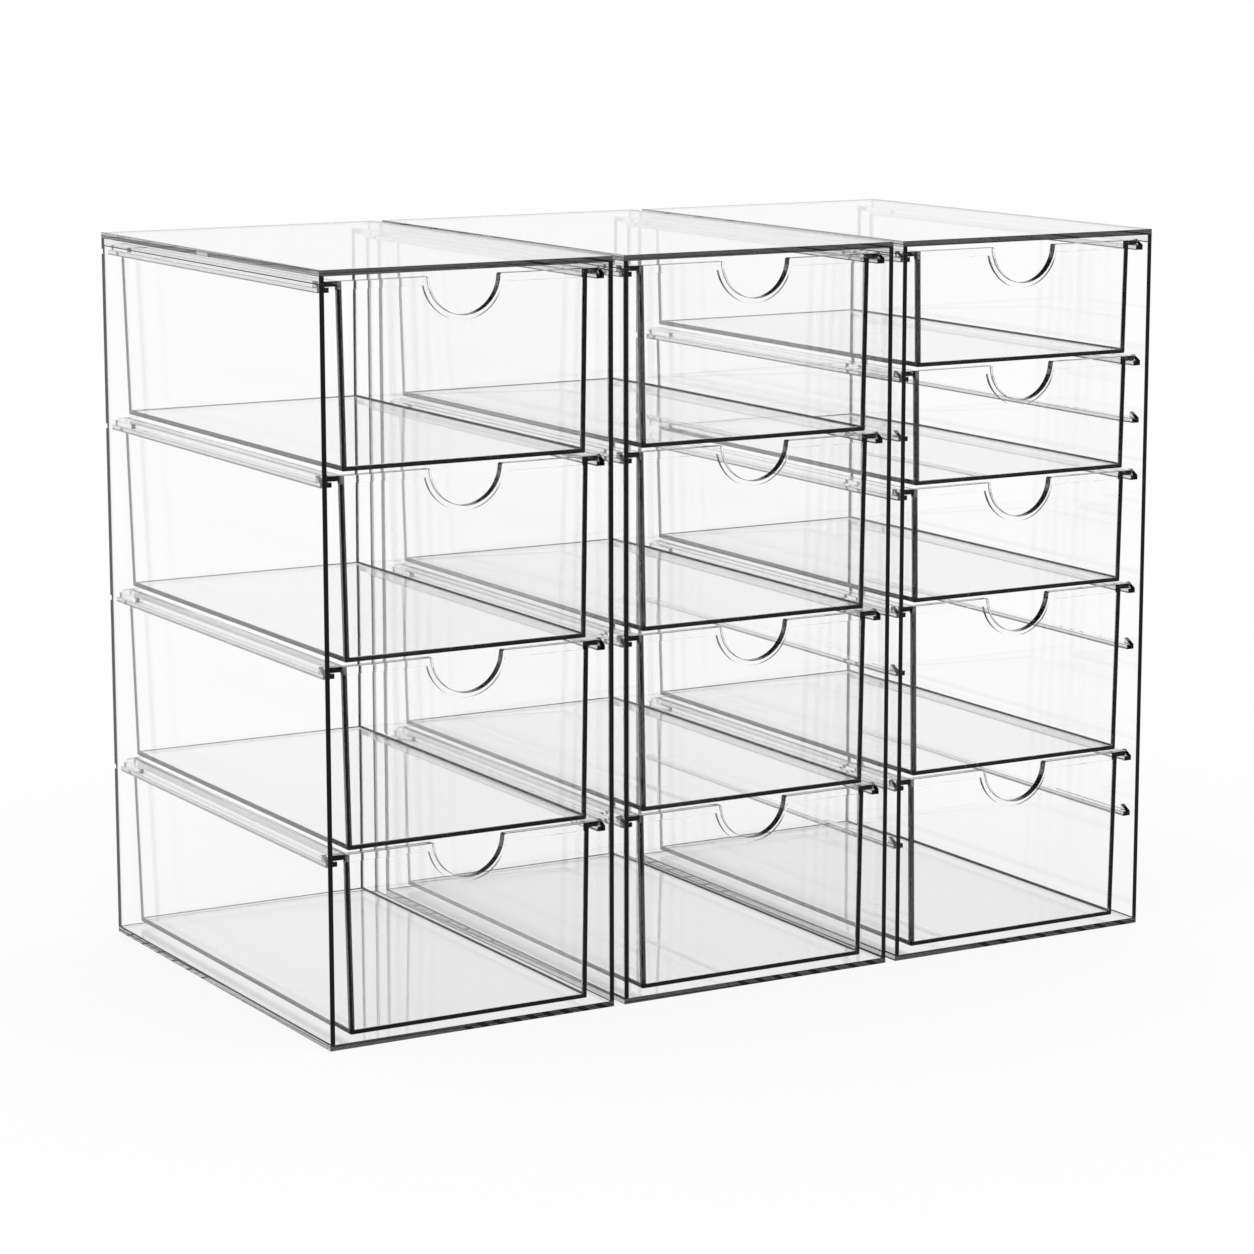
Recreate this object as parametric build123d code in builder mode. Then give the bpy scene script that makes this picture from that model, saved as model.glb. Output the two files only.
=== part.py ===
from build123d import *
import os
from math import radians, tan

# A set of three free-standing columns of clear drawers, side by side.
# Millimetres. +Z is up, the drawers open towards -Y, and the origin is under
# the middle of the set, on the surface that it stands on.

# The set
COLUMN_WIDTH = 185.0  # outside width of one column
COLUMN_DEPTH = 308.0  # front edge of the side panels to the back
COLUMN_GAP = 7.0  # air between neighbouring columns
STEP = 35.9  # pitch of the runner positions up a side panel

# The case of a column
SHEET = 3.0  # side panels and the cover's skirts
PLATE = 3.5  # top cover and base
BACK_SHEET = 2.0
SKIRT_DROP = 4.4  # the cover's side skirts, below its plate
COVER_CLEARANCE = 3.4  # cover's underside to the rim of the top drawer
BASE_CLEARANCE = 0.5  # base to the lowest runner module
KEY_HEIGHT = 3.0  # notches in the side panels' rear edges, one per runner
KEY_REACH = 2.0  # how far the back panel's keys reach into them
KEY_CLEARANCE = 0.2

# The runners on the side panels' inner faces
RUNNER_WIDTH = 5.2
RUNNER_THICKNESS = 2.9
RUNNER_SETBACK = 5.0  # behind the side panels' front edges
RUNNER_REAR_GAP = 6.0  # runner's rear end to the back panel
RUN_CLEARANCE = 0.2  # drawer lip to the runner under it
TOOTH_LENGTH = 5.9  # the stop at each runner's front end
TOOTH_HEIGHT = 3.4
TOOTH_CLEARANCE = 0.35  # stop to the lip that passes beside it

# The drawers
DRAWER_RECESS = 5.2  # drawer front behind the side panels' front edges
REAR_CLEARANCE = 0.6  # drawer's rear rim to the back panel
STACK_GAP = 2.1  # floor of a drawer to the rim of the next one down
WALL_TO_PANEL = 10.35  # rim of a side wall to the side panel
LIP_TO_PANEL = 3.25
LIP_SETBACK = 1.0  # lip's front end behind the drawer front
LIP_THICKNESS = 3.0
LIP_FRONT_RADIUS = 1.0
LIP_REAR_RADIUS = 8.0
SHOE_TO_PANEL = 0.4  # guide shoe at the rear of each lip, to the side panel
SHOE_LENGTH = 26.3  # lets the drawer out by 260 before its shoes meet the stops
SIDE_WALL = 2.4
FRONT_WALL = 2.5
REAR_WALL = 2.0
FLOOR = 2.2
SIDE_DRAFT = 1.0  # degrees that the side walls lean in towards the floor
REAR_DRAFT = 1.4
CORNER_RADIUS = 1.2  # upright corners, outside
CORNER_INNER_RADIUS = 0.8
FLOOR_RADIUS = 0.8  # where the walls meet the floor, outside
FLOOR_INNER_RADIUS = 0.5
BEAD_HEIGHT = 5.0  # thickened band along the front's top edge
BEAD_DEPTH = 4.8  # front face to the back of that band
NOTCH_RADIUS = 22.4  # half-round finger notch, centred on the top edge
NOTCH_RIM = 3.2  # width of the thick band round the notch
NOTCH_CORNER = 1.2  # rounding where the notch meets the top edge
NOTCH_ROUND = 0.3  # rounding along the notch's front and back edges

# Drawers from the top down as steps tall, and the runner positions in each column.
# The right column's panels carry spare runners for other drawer heights.
COLUMNS = {
    "left": {"drawers": (3, 3, 3, 3), "runners": (0, 3, 6, 9)},
    "middle": {"drawers": (3, 3, 3, 3), "runners": (0, 3, 6, 9)},
    "right": {"drawers": (2, 2, 2, 3, 3), "runners": (0, 2, 3, 4, 6, 7, 9, 10)},
}

# Heights and places that follow from them
STEPS = sum(COLUMNS["left"]["drawers"])
TOP_RIM = PLATE + BASE_CLEARANCE + STEPS * STEP
COVER_UNDERSIDE = TOP_RIM + COVER_CLEARANCE
PANEL_TOP = COVER_UNDERSIDE - SKIRT_DROP
FRONT = -COLUMN_DEPTH / 2
BACK = COLUMN_DEPTH / 2
INNER_HALF = COLUMN_WIDTH / 2 - SHEET  # column's middle to a side panel's inner face
DRAWER_FRONT = FRONT + DRAWER_RECESS
DRAWER_REAR = BACK - BACK_SHEET - REAR_CLEARANCE
RUNNER_FRONT = FRONT + RUNNER_SETBACK
RUNNER_REAR = BACK - BACK_SHEET - RUNNER_REAR_GAP
TOOTH_REAR = RUNNER_FRONT + TOOTH_LENGTH
TOOTH_WIDTH = LIP_TO_PANEL - TOOTH_CLEARANCE
SHOE_REAR = DRAWER_REAR - LIP_REAR_RADIUS
SHOE_FRONT = SHOE_REAR - SHOE_LENGTH


def rim_height(step):
    """Height of the rim of a drawer that hangs at a runner position, counted from the top."""
    return TOP_RIM - step * STEP


def runner_top(step):
    """Height of a runner's upper face."""
    return rim_height(step) - LIP_THICKNESS - RUN_CLEARANCE


def key_height(step):
    """Height of the middle of the notch in the side panel's rear edge."""
    return runner_top(step) - RUNNER_THICKNESS / 2


def top_cover(x_mid):
    """Flat plate with a skirt along each side that stands on the side panel."""
    with BuildPart() as cover:
        with BuildSketch(Plane.XY.offset(COVER_UNDERSIDE)):
            with Locations((x_mid, 0)):
                Rectangle(COLUMN_WIDTH, COLUMN_DEPTH)
        extrude(amount=PLATE)
        skirt_x = COLUMN_WIDTH / 2 - SHEET / 2
        with BuildSketch(Plane.XY.offset(COVER_UNDERSIDE)):
            with Locations((x_mid - skirt_x, 0), (x_mid + skirt_x, 0)):
                Rectangle(SHEET, COLUMN_DEPTH)
        extrude(amount=-SKIRT_DROP)
    return cover.part


def base_panel(x_mid):
    """Flat plate under the side panels and the back."""
    with BuildPart() as base:
        with BuildSketch():
            with Locations((x_mid, 0)):
                Rectangle(COLUMN_WIDTH, COLUMN_DEPTH)
        extrude(amount=PLATE)
    return base.part


def side_panel(x_mid, side, runner_steps):
    """Upright sheet between base and cover, with a notch in its rear edge at each runner."""
    x_low = x_mid + side * COLUMN_WIDTH / 2 - (SHEET if side > 0 else 0)
    with BuildPart() as panel:
        with BuildSketch(Plane.YZ.offset(x_low)):
            with Locations((0, (PLATE + PANEL_TOP) / 2)):
                Rectangle(COLUMN_DEPTH, PANEL_TOP - PLATE)
            with Locations([(BACK - BACK_SHEET / 2, key_height(step)) for step in runner_steps]):
                Rectangle(BACK_SHEET, KEY_HEIGHT, mode=Mode.SUBTRACT)
        extrude(amount=SHEET)
    return panel.part


def back_panel(x_mid, runner_steps):
    """Thin sheet between the side panels, with a key at each side for every runner notch."""
    with BuildPart() as back:
        with BuildSketch(Plane.XZ.offset(-BACK)):
            with Locations((x_mid, (PLATE + COVER_UNDERSIDE) / 2)):
                Rectangle(2 * INNER_HALF, COVER_UNDERSIDE - PLATE)
            with Locations([(x_mid, key_height(step)) for step in runner_steps]):
                Rectangle(2 * (INNER_HALF + KEY_REACH), KEY_HEIGHT - 2 * KEY_CLEARANCE)
        extrude(amount=BACK_SHEET)
    return back.part


def runner_strips(x_mid, side, runner_steps):
    """Strips bonded to a side panel, each with a wedge-shaped stop at its front end."""
    panel_x = x_mid + side * INNER_HALF
    strip_x = panel_x - side * RUNNER_WIDTH / 2
    tooth_x = panel_x - (TOOTH_WIDTH if side > 0 else 0)
    with BuildPart() as strips:
        for step in runner_steps:
            top = runner_top(step)
            with BuildSketch(Plane.XY.offset(top)):
                with Locations((strip_x, (RUNNER_FRONT + RUNNER_REAR) / 2)):
                    Rectangle(RUNNER_WIDTH, RUNNER_REAR - RUNNER_FRONT)
            extrude(amount=-RUNNER_THICKNESS)
            with BuildSketch(Plane.YZ.offset(tooth_x)):
                with BuildLine():
                    Polyline(
                        (RUNNER_FRONT, top),
                        (TOOTH_REAR, top),
                        (TOOTH_REAR, top + TOOTH_HEIGHT),
                        close=True,
                    )
                make_face()
            extrude(amount=TOOTH_WIDTH)
    return strips.part


def tub_outline(x_mid, below_rim, side_inset, front_inset, rear_inset, radius):
    """Rounded rectangle of the tapered tub at a depth below its rim, moved in by the insets."""
    half = INNER_HALF - WALL_TO_PANEL - below_rim * tan(radians(SIDE_DRAFT)) - side_inset
    front = DRAWER_FRONT + front_inset
    rear = DRAWER_REAR - below_rim * tan(radians(REAR_DRAFT)) - rear_inset
    with Locations((x_mid, (front + rear) / 2)):
        RectangleRounded(2 * half, rear - front, radius)


def drawer(x_mid, step, steps_tall):
    """Moulded tub that hangs by its side lips, with a half-round finger notch in its front."""
    rim = rim_height(step)
    height = steps_tall * STEP - STACK_GAP
    lip_half = INNER_HALF - LIP_TO_PANEL
    shoe_half = INNER_HALF - SHOE_TO_PANEL
    with BuildPart() as tub:
        with BuildSketch(Plane.XY.offset(rim - height)):
            tub_outline(x_mid, height, 0, 0, 0, CORNER_RADIUS)
        with BuildSketch(Plane.XY.offset(rim)):
            tub_outline(x_mid, 0, 0, 0, 0, CORNER_RADIUS)
        loft(ruled=True)
        fillet(tub.edges().group_by(Axis.Z)[0], FLOOR_RADIUS)

        # Lips along both sides, with the guide shoes near their rear ends
        with BuildSketch(Plane.XY.offset(rim)) as lips:
            with Locations((x_mid, (DRAWER_FRONT + LIP_SETBACK + DRAWER_REAR) / 2)):
                Rectangle(2 * lip_half, DRAWER_REAR - DRAWER_FRONT - LIP_SETBACK)
            fillet(lips.vertices().group_by(Axis.Y)[0], LIP_FRONT_RADIUS)
            fillet(lips.vertices().group_by(Axis.Y)[-1], LIP_REAR_RADIUS)
            with Locations((x_mid, (SHOE_FRONT + SHOE_REAR) / 2)):
                Rectangle(2 * shoe_half, SHOE_REAR - SHOE_FRONT)
        extrude(amount=-LIP_THICKNESS)

        # The hollow
        with BuildSketch(Plane.XY.offset(rim - height + FLOOR)):
            tub_outline(x_mid, height - FLOOR, SIDE_WALL, FRONT_WALL, REAR_WALL, CORNER_INNER_RADIUS)
        with BuildSketch(Plane.XY.offset(rim)):
            tub_outline(x_mid, 0, SIDE_WALL, FRONT_WALL, REAR_WALL, CORNER_INNER_RADIUS)
        loft(ruled=True, mode=Mode.SUBTRACT)
        hollow_floor = rim - height + FLOOR
        fillet(
            tub.edges().filter_by_position(Axis.Z, hollow_floor - 0.01, hollow_floor + 0.01),
            FLOOR_INNER_RADIUS,
        )

        # Thick band along the front's top edge and round the notch, then the notch itself
        inner_half = INNER_HALF - WALL_TO_PANEL - SIDE_WALL
        with BuildSketch(Plane.XZ.offset(-DRAWER_FRONT - FRONT_WALL / 2)):
            with Locations((x_mid, rim - BEAD_HEIGHT / 2)):
                Rectangle(2 * inner_half, BEAD_HEIGHT)
            with BuildLine():
                CenterArc((x_mid, rim), NOTCH_RADIUS + NOTCH_RIM, 180, 180)
                Line((x_mid - NOTCH_RADIUS - NOTCH_RIM, rim), (x_mid + NOTCH_RADIUS + NOTCH_RIM, rim))
            make_face()
        extrude(amount=FRONT_WALL / 2 - BEAD_DEPTH)
        with BuildSketch(Plane.XZ.offset(-DRAWER_FRONT)):
            with Locations((x_mid, rim)):
                Circle(NOTCH_RADIUS)
        extrude(amount=-BEAD_DEPTH, mode=Mode.SUBTRACT)
        corners = (
            tub.edges()
            .filter_by(Axis.Y)
            .filter_by_position(Axis.Z, rim - 0.01, rim + 0.01)
            .filter_by_position(Axis.X, x_mid - NOTCH_RADIUS - 0.01, x_mid + NOTCH_RADIUS + 0.01)
        )
        fillet(corners, NOTCH_CORNER)
        arcs = tub.edges().filter_by(GeomType.CIRCLE).filter_by(
            lambda edge: abs(edge.radius - NOTCH_RADIUS) < 0.01
        )
        fillet(arcs, NOTCH_ROUND)
    return tub.part


def write(part, name):
    """Labels a finished piece and writes it to its own file."""
    part.label = name
    export_step(part, f"parts/{name}.step")


os.makedirs("parts", exist_ok=True)
for place, (column, layout) in enumerate(COLUMNS.items()):
    x_mid = (place - 1) * (COLUMN_WIDTH + COLUMN_GAP)
    positions = layout["runners"]
    write(top_cover(x_mid), f"{column}_top_cover")
    write(base_panel(x_mid), f"{column}_base_panel")
    write(back_panel(x_mid, positions), f"{column}_back_panel")
    for side, side_name in ((-1, "left"), (1, "right")):
        write(side_panel(x_mid, side, positions), f"{column}_{side_name}_side_panel")
        write(runner_strips(x_mid, side, positions), f"{column}_{side_name}_runners")
    step = 0
    for number, steps_tall in enumerate(layout["drawers"], start=1):
        write(drawer(x_mid, step, steps_tall), f"{column}_drawer_{number}")
        step += steps_tall
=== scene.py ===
"""Clear acrylic drawer cases: finishes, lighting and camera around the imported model."""

import math

import bpy
import numpy as np
from bpy.props import FloatProperty, FloatVectorProperty, PointerProperty
from bpy.types import Operator, Panel, PropertyGroup
from mathutils import Matrix, Vector


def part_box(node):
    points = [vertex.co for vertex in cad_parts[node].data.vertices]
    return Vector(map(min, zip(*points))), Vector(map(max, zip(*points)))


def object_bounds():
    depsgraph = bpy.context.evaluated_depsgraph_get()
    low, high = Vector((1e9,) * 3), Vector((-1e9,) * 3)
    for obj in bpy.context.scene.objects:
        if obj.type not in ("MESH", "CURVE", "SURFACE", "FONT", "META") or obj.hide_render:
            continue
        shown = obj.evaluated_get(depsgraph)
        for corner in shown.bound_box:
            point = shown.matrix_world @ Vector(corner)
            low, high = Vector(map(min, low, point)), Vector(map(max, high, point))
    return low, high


bl_info = {
    "name": "Clear Drawer Cases",
    "version": (1, 0, 0),
    "blender": (4, 5, 0),
    "location": "View3D > Sidebar > Drawer Cases",
    "description": "Finishes a set of clear acrylic drawer cases and sets up its studio",
    "category": "Object",
}

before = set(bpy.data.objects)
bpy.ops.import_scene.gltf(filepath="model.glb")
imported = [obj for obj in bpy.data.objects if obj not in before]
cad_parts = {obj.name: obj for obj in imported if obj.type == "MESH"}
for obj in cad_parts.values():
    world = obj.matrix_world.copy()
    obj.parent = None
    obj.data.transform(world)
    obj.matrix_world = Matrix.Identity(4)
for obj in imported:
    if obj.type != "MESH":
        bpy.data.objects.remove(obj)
CAD_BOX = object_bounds()

MM = 0.001

ACRYLIC_IOR = 1.49
GLANCE = (0.3, 0.3, 0.3, 1.0)  # fainter reflections than acrylic's own, matched to the photograph

# Drawers: how wide each wall, floor and lip shows where it is seen edge on, with its inner round, as
# painted shade.
SIDE_WALL = 2.7 * MM
END_WALL = 2.8 * MM
FLOOR = 2.5 * MM
SIDE_FOLD = 3.0 * MM  # the floor, at the foot of a side wall
WALL_INSET = 9.95 * MM  # a wall's rim, inside the guide shoes that give the drawer's box its width
SIDE_LEAN = math.tan(math.radians(1.0))  # how far the walls come in with depth
REAR_LEAN = math.tan(math.radians(1.4))
LIP_THICKNESS = 3.0 * MM
LIP_START, LIP_FULL = 1.5 * MM, 2.0 * MM  # outside the wall's rim, where a lip's painted shade sets in
LIP_LINE = 0.4 * MM  # the painted shade lines along a lip's outer side
TOP_EDGE = 0.3 * MM
TOP_DEPTH = 5.0 * MM  # front to back of the thick band of painted shade along the top edge and round the notch
NOTCH_REACH = 24.0 * MM  # half the notch's width with its round corners

REAR_STRIP = 3.2 * MM  # the part of a side panel's faces that shows its rear edge, painted with shade

# Runners: their place on the side panels, and the painted shade lines along their edges.
RUNNER_FOOT = 33.8 * MM  # underside of the lowest runner
RUNNER_PITCH = 35.9 * MM
RUNNER_THICKNESS = 2.9 * MM
RUNNER_LINE = 0.4 * MM

# How far each kind of edge goes towards its full painted shade, from 0 to 1.
STRIP_LEVEL = 0.985
LIP_SIDE_LEVEL = 0.1
LIP_LINE_LEVEL = 0.6
LIP_END_LEVEL = 0.9
TOP_LEVEL = 0.7
NOTCH_LEVEL = 0.97
RUNNER_LEVELS = {"X": 0.3, "Y": 1.0}
UPRIGHT_LEVELS = {"Y": 1.0}
REAR_LEVELS = {"X": 0.3}
FLAT_LEVELS = {"X": 0.2, "Y": 1.0}

# A face looks along an axis where its normal's part on that axis is past FACING, and belongs to a
# round where no part of the normal is near 1.
FACING = (0.6, 0.9)
ROUND = (0.985, 0.93)
SOFT_EDGE = 0.1 * MM  # width over which a mask fades
OUTER_MARGIN = 0.2 * MM  # a strip begins this far outside its edge, so that no sliver is left

# Waves in the faces: a cast sheet is flatter than a moulding, and a narrow strip's are shorter.
SHEET_WAVE = 0.004 * MM
SHEET_WAVE_LENGTH = 60 * MM
RUNNER_WAVE_LENGTH = 30 * MM
DRAWER_WAVE_LENGTH = 45 * MM

ROUND_ROUGHNESS = 0.1
ROUND_SEGMENTS = 2
WELD_DISTANCE = 0.001 * MM
SHARP_ANGLE = math.radians(40)

FLOOR_HALF = 30.0  # half the side of the studio floor
FLOOR_DROP = 0.05 * MM  # below the set's undersides, so that no two faces share a plane
SOFTBOX_SIDE = 2.0
SOFTBOX_PLACE = Vector((-1.5, -1.2, 2.6))
SOFTBOX_AIM = Vector((0.0, 0.0, 0.2))

# Brightness of the tent against the height of the direction that it is seen in.
TENT_TOP = 0.5
TENT_LEVELS = ((0.02, 1.0), (0.1, 0.93), (0.27, 0.8), (0.42, 0.03))

CAMERA_PLACE = Vector((-1194.3, -2058.6, 627.1)) * MM
CAMERA_TURN, CAMERA_TILT, CAMERA_ROLL = 0.5252, 0.1801, -0.001
SENSOR_WIDTH = 36.0
VIEW_LIMIT = 100.0

CLEAR_BOUNCES = 64  # light crosses dozens of clear faces between the floor and the camera
GLOSSY_BOUNCES = 24
DIFFUSE_BOUNCES = 4


def linear(hex_colour):
    """Linear RGB of an sRGB hex colour: each channel over 12.92, or raised to 2.4 past the toe."""
    channels = (int(hex_colour[i : i + 2], 16) / 255 for i in (1, 3, 5))
    return tuple(c / 12.92 if c <= 0.04045 else ((c + 0.055) / 1.055) ** 2.4 for c in channels)


class AcrylicSettings(PropertyGroup):
    """Finish of the clear pieces."""

    sheet_clearness: FloatProperty(
        name="Sheet absorption",
        description="Share of light that cast sheet takes up per metre, as an exponent",
        default=2.0,
        min=0.0,
    )
    drawer_clearness: FloatProperty(
        name="Drawer absorption",
        description="Share of light that the moulded drawers take up per metre, as an exponent",
        default=3.0,
        min=0.0,
    )
    sheet_tint: FloatVectorProperty(
        name="Sheet tint",
        description="Surface tint of the sheets and runner strips",
        subtype="COLOR",
        default=linear("#ffffff"),
    )
    drawer_tint: FloatVectorProperty(
        name="Drawer tint",
        description="Surface tint of the drawers",
        subtype="COLOR",
        default=linear("#ffffff"),
    )
    # Painted shade on the sheets' cut edges, where they are seen edge on.
    painted_edge_shade: FloatVectorProperty(
        name="Sheet edge colour",
        description="What a sheet's cut edge lets through",
        subtype="COLOR",
        default=(0.16, 0.16, 0.16),
    )
    # Painted shade: the fine dark lines along the sheets' polished edges.
    painted_line_shade: FloatVectorProperty(
        name="Polished line colour",
        description="Colour of the fine lines along the sheets' polished edges",
        subtype="COLOR",
        default=linear("#303030"),
    )
    # Painted shade on the runner strips' sides and ends.
    runner_painted_shade: FloatVectorProperty(
        name="Runner edge colour",
        description="What the runner strips' sides and ends let through",
        subtype="COLOR",
        default=(0.03, 0.03, 0.03),
    )
    # Painted shade on the drawers' rounds, wall edges, lips and notch.
    drawer_painted_shade: FloatVectorProperty(
        name="Drawer edge colour",
        description="What the drawers' rounds, wall edges and lips let through",
        subtype="COLOR",
        default=(0.01, 0.01, 0.01),
    )
    sheet_edge: FloatProperty(
        name="Sheet edge radius",
        description="Rounding that flame polishing leaves on the sheets' edges",
        unit="LENGTH",
        default=0.2 * MM,
        min=0.0,
    )
    ripple: FloatProperty(
        name="Ripple",
        description="Height of the faint waves that moulding leaves in the drawers' faces",
        unit="LENGTH",
        default=0.02 * MM,
        min=0.0,
    )


class StudioSettings(PropertyGroup):
    """The floor, the softbox and the camera."""

    floor_colour: FloatVectorProperty(
        name="Floor colour",
        description="Colour of the studio floor",
        subtype="COLOR",
        default=linear("#fefefe"),
    )
    shadow_share: FloatProperty(
        name="Shadow share",
        description="How much of the floor's white is lit, and so takes the set's shadow",
        subtype="FACTOR",
        default=0.12,
        min=0.0,
        max=1.0,
    )
    lamp_power: FloatProperty(
        name="Softbox power",
        description="Power of the softbox above the front left",
        unit="POWER",
        default=6.0,
        min=0.0,
    )
    focal_length: FloatProperty(
        name="Focal length",
        description="Camera lens on a 36 mm sensor, in millimetres",
        default=110.79,
        min=1.0,
    )


def add_node(tree, kind, settings=None, inputs=None):
    """Adds one node, sets its properties, and gives its inputs numbers, colours or links."""
    node = tree.nodes.new(kind)
    for key, value in (settings or {}).items():
        setattr(node, key, value)
    for key, value in (inputs or {}).items():
        source = getattr(value, "socket", value)
        if isinstance(source, bpy.types.NodeSocket):
            tree.links.new(source, node.inputs[key])
        else:
            node.inputs[key].default_value = source
    return node


class Measure:
    """A number that differs over a surface, held by a node's output.

    Masks are written as formulas of such numbers, and each step of a formula adds its node.
    """

    def __init__(self, tree, socket):
        self.tree = tree
        self.socket = socket

    def step(self, operation, *values):
        inputs = dict(enumerate(values))
        node = add_node(self.tree, "ShaderNodeMath", {"operation": operation}, inputs)
        return Measure(self.tree, node.outputs["Value"])

    def __sub__(self, other):
        return self.step("SUBTRACT", self, other)

    def __rsub__(self, other):
        return self.step("SUBTRACT", other, self)

    def __mul__(self, other):
        return self.step("MULTIPLY", self, other)

    def __mod__(self, other):
        return self.step("MODULO", self, other)

    def __abs__(self):
        return self.step("ABSOLUTE", self)

    def or_more(self, *others):
        """The largest of this number and the others."""
        result = self
        for other in others:
            result = result.step("MAXIMUM", result, other)
        return result

    def or_less(self, other):
        """The smaller of two numbers."""
        return self.step("MINIMUM", self, other)

    def fade(self, start, end):
        """0 at start, 1 at end, and a straight line between."""
        limits = {"Value": self, "From Min": start, "From Max": end}
        node = add_node(self.tree, "ShaderNodeMapRange", {}, limits)
        return Measure(self.tree, node.outputs["Result"])

    def strip(self, width):
        """For a distance from an edge: 1 up to the width from it, and 0 past that and outside it."""
        near = self.fade(width, width - SOFT_EDGE)
        return near * self.fade(-OUTER_MARGIN - SOFT_EDGE, -OUTER_MARGIN)


def parts_of(tree, vector):
    """A vector's three parts, as measures."""
    outputs = add_node(tree, "ShaderNodeSeparateXYZ", {}, {"Vector": vector}).outputs
    return [Measure(tree, outputs[axis]) for axis in "XYZ"]


def facings(tree, place):
    """How squarely a face looks along each axis, either way, from 0 to 1."""
    return [abs(part).fade(*FACING) for part in parts_of(tree, place["Normal"])]


def sheet_edge_shade(levels):
    """Mask of the painted shade on a sheet's cut edges: a level for each axis that they look along.
    """

    def mask(tree, place):
        faces = dict(zip("XYZ", facings(tree, place)))
        edges = [faces[axis] * level for axis, level in levels.items()]
        return edges[0].or_more(*edges[1:])

    return mask


def upright_edge_shade(tree, place):
    """Mask of the painted shade on a side panel's cut edges, and on the strips of its faces that show
    the rear one.
    """
    from_rear = CAD_BOX[1][1] - parts_of(tree, place["Object"])[1]
    rear = facings(tree, place)[0] * from_rear.strip(REAR_STRIP)
    return sheet_edge_shade(UPRIGHT_LEVELS)(tree, place).or_more(rear * STRIP_LEVEL)


def runner_edge_shade(tree, place):
    """Mask of the painted shade on a runner's sides and ends, with a painted shade line along the top
    and foot of its sides.

    The runners repeat up the panel, so a height is taken from the foot of its own runner: the
    remainder of the height over the pitch, counted from just under the lowest foot.
    """
    below = 1.0 * MM
    height = parts_of(tree, place["Object"])[2]
    from_foot = (height - (RUNNER_FOOT - below)) % RUNNER_PITCH - below
    from_top = RUNNER_THICKNESS - from_foot
    lines = from_foot.strip(RUNNER_LINE).or_more(from_top.strip(RUNNER_LINE))
    sideways = facings(tree, place)[0]
    return sheet_edge_shade(RUNNER_LEVELS)(tree, place).or_more(sideways * lines)


def drawer_edge_shade(low, high):
    """Mask of the painted shade on a drawer, where a wall, the floor or a lip is seen edge on.

    They are the rounds, whose normals lie between the axes; the strips of the outer faces that a
    wall or the floor meets from behind, as wide as it is thick; the lips' ends and the lines along
    their sides; and the front's top edge with the notch.
    """
    rim = (high[0] - low[0]) / 2 - WALL_INSET
    middle = (low[0] + high[0]) / 2

    def mask(tree, place):
        x, y, z = parts_of(tree, place["Object"])
        sizes = [abs(part) for part in parts_of(tree, place["Normal"])]
        sideways, endways, upright = (size.fade(*FACING) for size in sizes)
        across = abs(x - middle)
        depth = high[2] - z
        from_side = rim - depth * SIDE_LEAN - across
        from_rear = high[1] - depth * REAR_LEAN - y
        from_front = y - low[1]
        from_floor = z - low[2]

        rounds = sizes[0].or_more(sizes[1], sizes[2]).fade(*ROUND)
        strips = (
            (endways * from_side.strip(SIDE_WALL))
            .or_more(sideways * from_rear.or_less(from_front).strip(END_WALL))
            .or_more(sideways * from_floor.strip(SIDE_FOLD))
            .or_more((1.0 - upright) * from_floor.strip(FLOOR))
        )

        lip_lines = depth.strip(LIP_LINE).or_more((LIP_THICKNESS - depth).strip(LIP_LINE))
        lip_sides = sideways * (lip_lines * LIP_LINE_LEVEL).or_more(LIP_SIDE_LEVEL)
        lips = lip_sides.or_more(endways * LIP_END_LEVEL)
        on_lip = across.fade(rim + LIP_START, rim + LIP_FULL)

        # Painted shade along the front's top edge and round the notch, standing in for its dark
        # glints.
        top = upright * depth.strip(TOP_EDGE)
        notch = across.fade(NOTCH_REACH, NOTCH_REACH - SOFT_EDGE)
        notch = notch * depth.fade(NOTCH_REACH, NOTCH_REACH - SOFT_EDGE) * (1.0 - endways)
        front = (top * TOP_LEVEL).or_more(notch * NOTCH_LEVEL) * from_front.strip(TOP_DEPTH)

        return rounds.or_more(strips * STRIP_LEVEL, lips * on_lip, front)

    return mask


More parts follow.
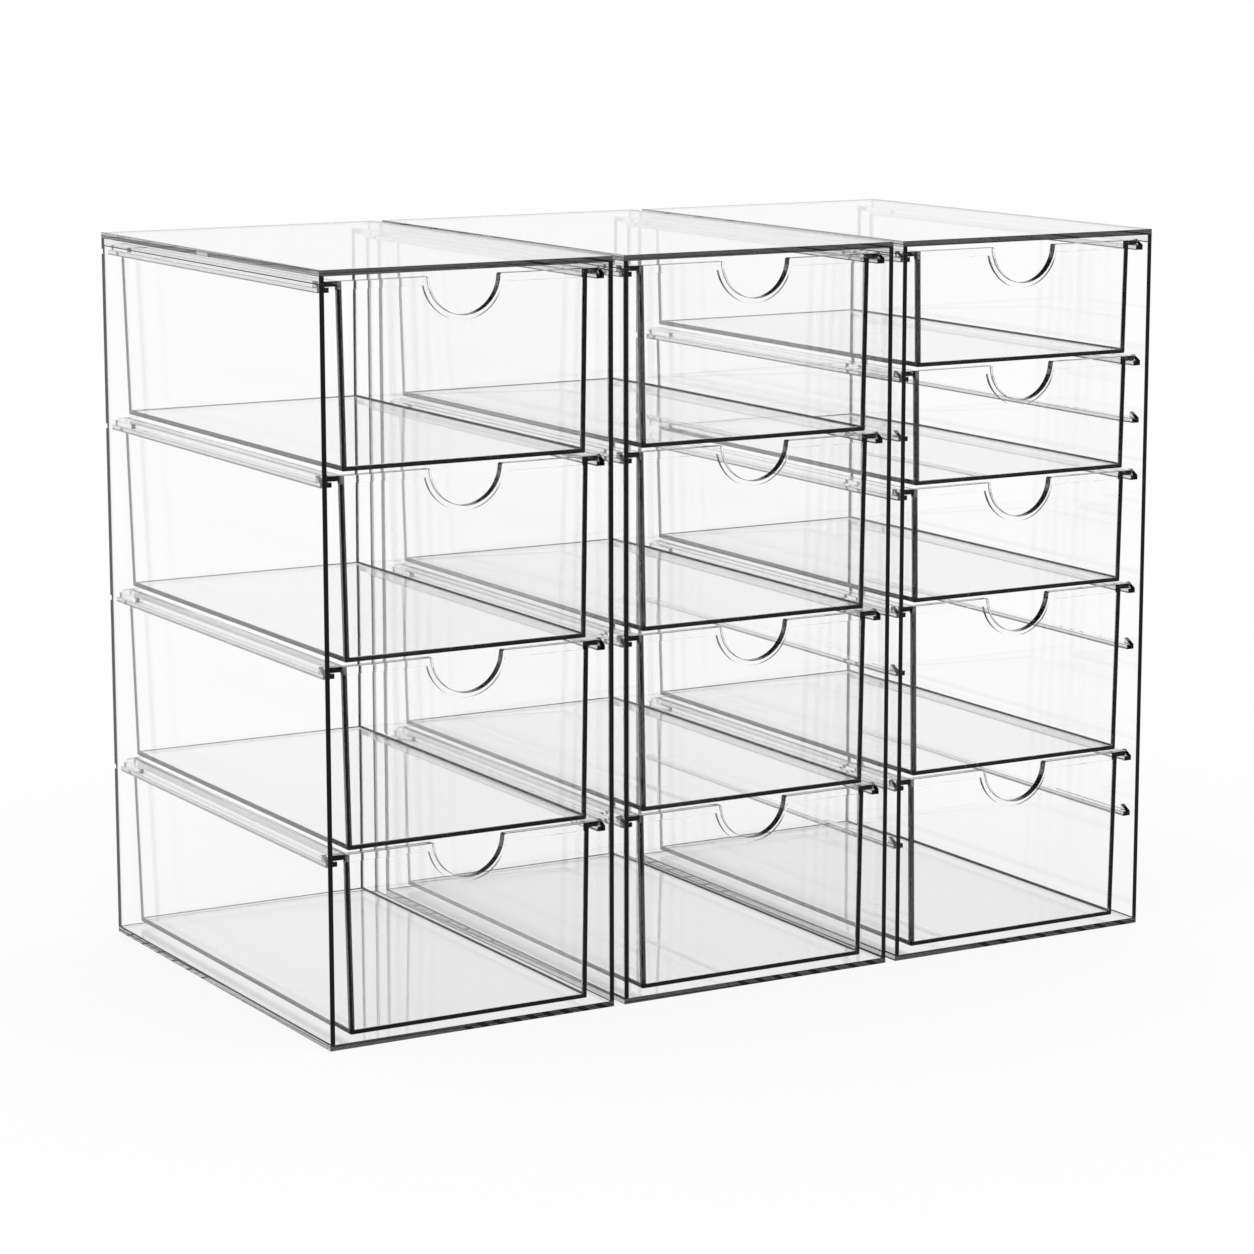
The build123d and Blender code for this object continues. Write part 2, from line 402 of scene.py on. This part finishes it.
def clear_acrylic(name, tint, absorption, wave, wave_length, mask, painted_edge_shade):
    """Clear acrylic: refracting, faintly grey in depth, with slow waves in its glossy faces.

    Walls and edges that are seen edge on look dark. That dark is painted shade, put into the colour
    where the mask says.
    """
    material = bpy.data.materials.new(name)
    material.use_nodes = True
    tree = material.node_tree
    tree.nodes.clear()
    place = add_node(tree, "ShaderNodeTexCoord").outputs
    waves = add_node(
        tree,
        "ShaderNodeTexNoise",
        {},
        {"Vector": place["Object"], "Scale": 1.0 / wave_length, "Detail": 1.0},
    )
    bump = add_node(
        tree,
        "ShaderNodeBump",
        {},
        {"Height": waves.outputs["Fac"], "Distance": wave, "Strength": 1.0},
    )
    # Painted shade: the mask mixes the dark edge colour into the base colour.
    colour = add_node(tree, "ShaderNodeMix", {"data_type": "RGBA"})
    sockets = {socket.identifier: socket for socket in colour.inputs}
    sockets["A_Color"].default_value = (*tint, 1.0)
    sockets["B_Color"].default_value = (*painted_edge_shade, 1.0)
    tree.links.new(mask(tree, place).socket, sockets["Factor_Float"])
    mixed = {socket.identifier: socket for socket in colour.outputs}["Result_Color"]
    surface = add_node(
        tree,
        "ShaderNodeBsdfPrincipled",
        {},
        {
            "Base Color": mixed,
            "Roughness": 0.0,
            "IOR": ACRYLIC_IOR,
            "Transmission Weight": 1.0,
            "Specular Tint": GLANCE,
            "Normal": bump.outputs["Normal"],
        },
    )
    depth = add_node(
        tree,
        "ShaderNodeVolumeAbsorption",
        {},
        {"Color": (0.0, 0.0, 0.0, 1.0), "Density": absorption},
    )
    add_node(
        tree,
        "ShaderNodeOutputMaterial",
        {},
        {"Surface": surface.outputs["BSDF"], "Volume": depth.outputs["Volume"]},
    )
    return material


def painted_shade_rounds(colour):
    """The narrow rounds that flame polishing leaves along cut edges: opaque in a painted shade, they
    show as fine dark lines.
    """
    material = bpy.data.materials.new("flame_polished_round_painted_shade")
    material.use_nodes = True
    shader = material.node_tree.nodes["Principled BSDF"].inputs
    shader["Base Color"].default_value = (*colour, 1.0)
    shader["Roughness"].default_value = ROUND_ROUGHNESS
    shader["IOR"].default_value = ACRYLIC_IOR
    return material


def nodes_named(*endings):
    """CAD nodes whose names end in one of these words."""
    return sorted(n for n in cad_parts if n.endswith(endings))


def finish_node(name, material):
    """Gives a CAD node its finish."""
    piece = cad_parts[name]
    piece.data.materials.clear()
    piece.data.materials.append(material)
    return piece


def round_edges(piece, radius, material):
    """Rounds a sheet's sharp edges, and gives the rounds a finish of their own."""
    if radius <= 0:
        return
    piece.data.materials.append(material)
    weld = piece.modifiers.new("Weld", "WELD")
    weld.merge_threshold = WELD_DISTANCE
    bevel = piece.modifiers.new("Polished edge", "BEVEL")
    bevel.width = radius
    bevel.segments = ROUND_SEGMENTS
    bevel.limit_method = "ANGLE"
    bevel.angle_limit = SHARP_ANGLE
    bevel.harden_normals = True
    bevel.material = 1


class ACRYLIC_OT_cases(Operator):
    """Finishes the cases' sheets"""

    bl_idname = "acrylic.cases"
    bl_label = "Cases"

    def execute(self, context):
        # Cast acrylic sheet, cut and flame polished: flat clear faces, and painted shade on the edges
        # between two fine lines. Covers and bases get fainter painted shade on their side edges than
        # on their front ones.
        settings = context.scene.acrylic
        rounds = painted_shade_rounds(settings.painted_line_shade)
        for lie, mask, pieces in (
            ("upright", upright_edge_shade, nodes_named("_side_panel")),
            ("rear", sheet_edge_shade(REAR_LEVELS), nodes_named("_back_panel")),
            ("level", sheet_edge_shade(FLAT_LEVELS), nodes_named("_top_cover", "_base_panel")),
        ):
            sheet = clear_acrylic(
                f"flame_polished_cast_acrylic_{lie}",
                settings.sheet_tint,
                settings.sheet_clearness,
                SHEET_WAVE,
                SHEET_WAVE_LENGTH,
                mask,
                settings.painted_edge_shade,
            )
            for name in pieces:
                round_edges(finish_node(name, sheet), settings.sheet_edge, rounds)
        return {"FINISHED"}


class ACRYLIC_OT_runners(Operator):
    """Finishes the runner strips"""

    bl_idname = "acrylic.runners"
    bl_label = "Runners"

    def execute(self, context):
        # Sawn strips of cast acrylic: clear on top and below, with painted shade on the sawn sides
        # and ends.
        settings = context.scene.acrylic
        sawn = clear_acrylic(
            "sawn_acrylic_strip_painted_shade",
            settings.sheet_tint,
            settings.sheet_clearness,
            SHEET_WAVE,
            RUNNER_WAVE_LENGTH,
            runner_edge_shade,
            settings.runner_painted_shade,
        )
        for name in nodes_named("_runners"):
            finish_node(name, sawn)
        return {"FINISHED"}


class ACRYLIC_OT_drawers(Operator):
    """Finishes the drawers"""

    bl_idname = "acrylic.drawers"
    bl_label = "Drawers"

    def execute(self, context):
        # Injection-moulded acrylic: as clear as sheet, a little wavier, with painted shade as dark
        # outlines where walls and floor are seen edge on. Each drawer's mask is measured from its own
        # box.
        settings = context.scene.acrylic
        for name in sorted(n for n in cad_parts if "_drawer_" in n):
            moulding = clear_acrylic(
                f"injection_moulded_acrylic_painted_edges_{name}",
                settings.drawer_tint,
                settings.drawer_clearness,
                settings.ripple,
                DRAWER_WAVE_LENGTH,
                drawer_edge_shade(*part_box(name)),
                settings.drawer_painted_shade,
            )
            finish_node(name, moulding)
        return {"FINISHED"}


class ACRYLIC_OT_studio(Operator):
    """Sets up the floor, the softbox, the surround and the camera"""

    bl_idname = "acrylic.studio"
    bl_label = "Studio"

    def execute(self, context):
        scene, settings = context.scene, context.scene.studio
        self.floor(scene, settings)
        self.softbox(scene, settings)
        self.tent(scene)
        self.camera(scene, settings)
        scene.view_settings.view_transform = "Standard"
        cycles = scene.cycles
        cycles.max_bounces = CLEAR_BOUNCES
        cycles.transmission_bounces = CLEAR_BOUNCES
        cycles.transparent_max_bounces = CLEAR_BOUNCES
        cycles.glossy_bounces = GLOSSY_BOUNCES
        cycles.diffuse_bounces = DIFFUSE_BOUNCES
        return {"FINISHED"}

    def floor(self, scene, settings):
        """A flat square just under the set."""
        mesh = bpy.data.meshes.new("studio_floor")
        corners = FLOOR_HALF * np.array([(-1, -1, 0), (1, -1, 0), (1, 1, 0), (-1, 1, 0)], float)
        corners[:, 2] = -FLOOR_DROP
        mesh.from_pydata(corners.tolist(), [], [(0, 1, 2, 3)])
        mesh.materials.append(self.floor_paint(settings))
        floor = bpy.data.objects.new("studio_floor", mesh)
        scene.collection.objects.link(floor)

    def floor_paint(self, settings):
        """White paint: its white shows at full strength, also in the acrylic, with a faint shadow."""
        material = bpy.data.materials.new("painted_floor")
        material.use_nodes = True
        tree = material.node_tree
        tree.nodes.clear()
        colour = (*settings.floor_colour, 1.0)
        paint = add_node(tree, "ShaderNodeBsdfDiffuse", {}, {"Color": colour})
        glow = add_node(tree, "ShaderNodeEmission", {}, {"Color": colour, "Strength": 1.0})
        rays = add_node(tree, "ShaderNodeLightPath").outputs
        seen = Measure(tree, rays["Is Camera Ray"]).or_more(
            rays["Is Glossy Ray"], rays["Is Transmission Ray"]
        )
        mix = add_node(
            tree,
            "ShaderNodeMixShader",
            {},
            {
                "Fac": seen * (1.0 - settings.shadow_share),
                1: paint.outputs["BSDF"],
                2: glow.outputs["Emission"],
            },
        )
        add_node(tree, "ShaderNodeOutputMaterial", {}, {"Surface": mix.outputs["Shader"]})
        return material

    def softbox(self, scene, settings):
        """A large softbox above the front left."""
        light = bpy.data.lights.new("softbox", "AREA")
        light.shape = "RECTANGLE"
        light.size = light.size_y = SOFTBOX_SIDE
        light.energy = settings.lamp_power
        lamp = bpy.data.objects.new("softbox", light)
        lamp.location = SOFTBOX_PLACE
        aim = SOFTBOX_AIM - SOFTBOX_PLACE
        lamp.rotation_euler = aim.to_track_quat("-Z", "Y").to_euler()
        scene.collection.objects.link(lamp)

    def tent(self, scene):
        """A white tent. In reflections and through the acrylic it dims upwards, to a dark ceiling."""
        world = bpy.data.worlds.new("light_tent")
        world.use_nodes = True
        tree = world.node_tree
        tree.nodes.clear()
        direction = add_node(tree, "ShaderNodeTexCoord").outputs["Generated"]
        height = parts_of(tree, direction)[2].fade(0.0, TENT_TOP)
        glow = add_node(tree, "ShaderNodeValToRGB", {}, {"Fac": height})
        stops = glow.color_ramp.elements
        for stop, (rise, level) in zip(stops, (TENT_LEVELS[0], TENT_LEVELS[-1])):
            stop.position = rise / TENT_TOP
            stop.color = (level, level, level, 1.0)
        for rise, level in TENT_LEVELS[1:-1]:
            stops.new(rise / TENT_TOP).color = (level, level, level, 1.0)
        rays = add_node(tree, "ShaderNodeLightPath").outputs
        bent = Measure(tree, rays["Is Glossy Ray"]).or_more(rays["Is Transmission Ray"])
        strength = add_node(
            tree, "ShaderNodeMix", {}, {"Factor": bent, "A": 1.0, "B": glow.outputs["Color"]}
        )
        white = add_node(
            tree,
            "ShaderNodeBackground",
            {},
            {"Color": (1.0, 1.0, 1.0, 1.0), "Strength": strength.outputs["Result"]},
        )
        add_node(tree, "ShaderNodeOutputWorld", {}, {"Surface": white.outputs["Background"]})
        scene.world = world

    def camera(self, scene, settings):
        """The photograph's viewpoint, found from the cases' corners.

        The turn is from straight on towards the right, the tilt is downwards, and the roll turns
        the frame about the line of sight, all in radians.
        """
        forward = Vector(
            (
                math.sin(CAMERA_TURN) * math.cos(CAMERA_TILT),
                math.cos(CAMERA_TURN) * math.cos(CAMERA_TILT),
                -math.sin(CAMERA_TILT),
            )
        )
        right = Vector((math.cos(CAMERA_TURN), -math.sin(CAMERA_TURN), 0.0))
        up = right.cross(forward)
        across = right * math.cos(CAMERA_ROLL) + up * math.sin(CAMERA_ROLL)
        upright = up * math.cos(CAMERA_ROLL) - right * math.sin(CAMERA_ROLL)
        data = bpy.data.cameras.new("camera")
        data.lens = settings.focal_length
        data.sensor_width = SENSOR_WIDTH
        data.clip_end = VIEW_LIMIT
        camera = bpy.data.objects.new("camera", data)
        axes = Matrix((across, upright, -forward)).transposed().to_4x4()
        camera.matrix_world = Matrix.Translation(CAMERA_PLACE) @ axes
        scene.collection.objects.link(camera)
        scene.camera = camera


class ACRYLIC_PT_panel(Panel):
    """Buttons and settings of the drawer cases"""

    bl_label = "Drawer Cases"
    bl_idname = "ACRYLIC_PT_panel"
    bl_space_type = "VIEW_3D"
    bl_region_type = "UI"
    bl_category = "Drawer Cases"

    def draw(self, context):
        layout = self.layout
        for group in (context.scene.acrylic, context.scene.studio):
            for name in group.__annotations__:
                layout.prop(group, name)
        for name in ("cases", "runners", "drawers", "studio"):
            layout.operator(f"acrylic.{name}")


CLASSES = (
    AcrylicSettings,
    StudioSettings,
    ACRYLIC_OT_cases,
    ACRYLIC_OT_runners,
    ACRYLIC_OT_drawers,
    ACRYLIC_OT_studio,
    ACRYLIC_PT_panel,
)


def register():
    for item in CLASSES:
        bpy.utils.register_class(item)
    bpy.types.Scene.acrylic = PointerProperty(type=AcrylicSettings)
    bpy.types.Scene.studio = PointerProperty(type=StudioSettings)


def unregister():
    del bpy.types.Scene.studio
    del bpy.types.Scene.acrylic
    for item in reversed(CLASSES):
        bpy.utils.unregister_class(item)


def main():
    register()
    bpy.ops.acrylic.cases()
    bpy.ops.acrylic.runners()
    bpy.ops.acrylic.drawers()
    bpy.ops.acrylic.studio()


if __name__ == "__main__":
    main()
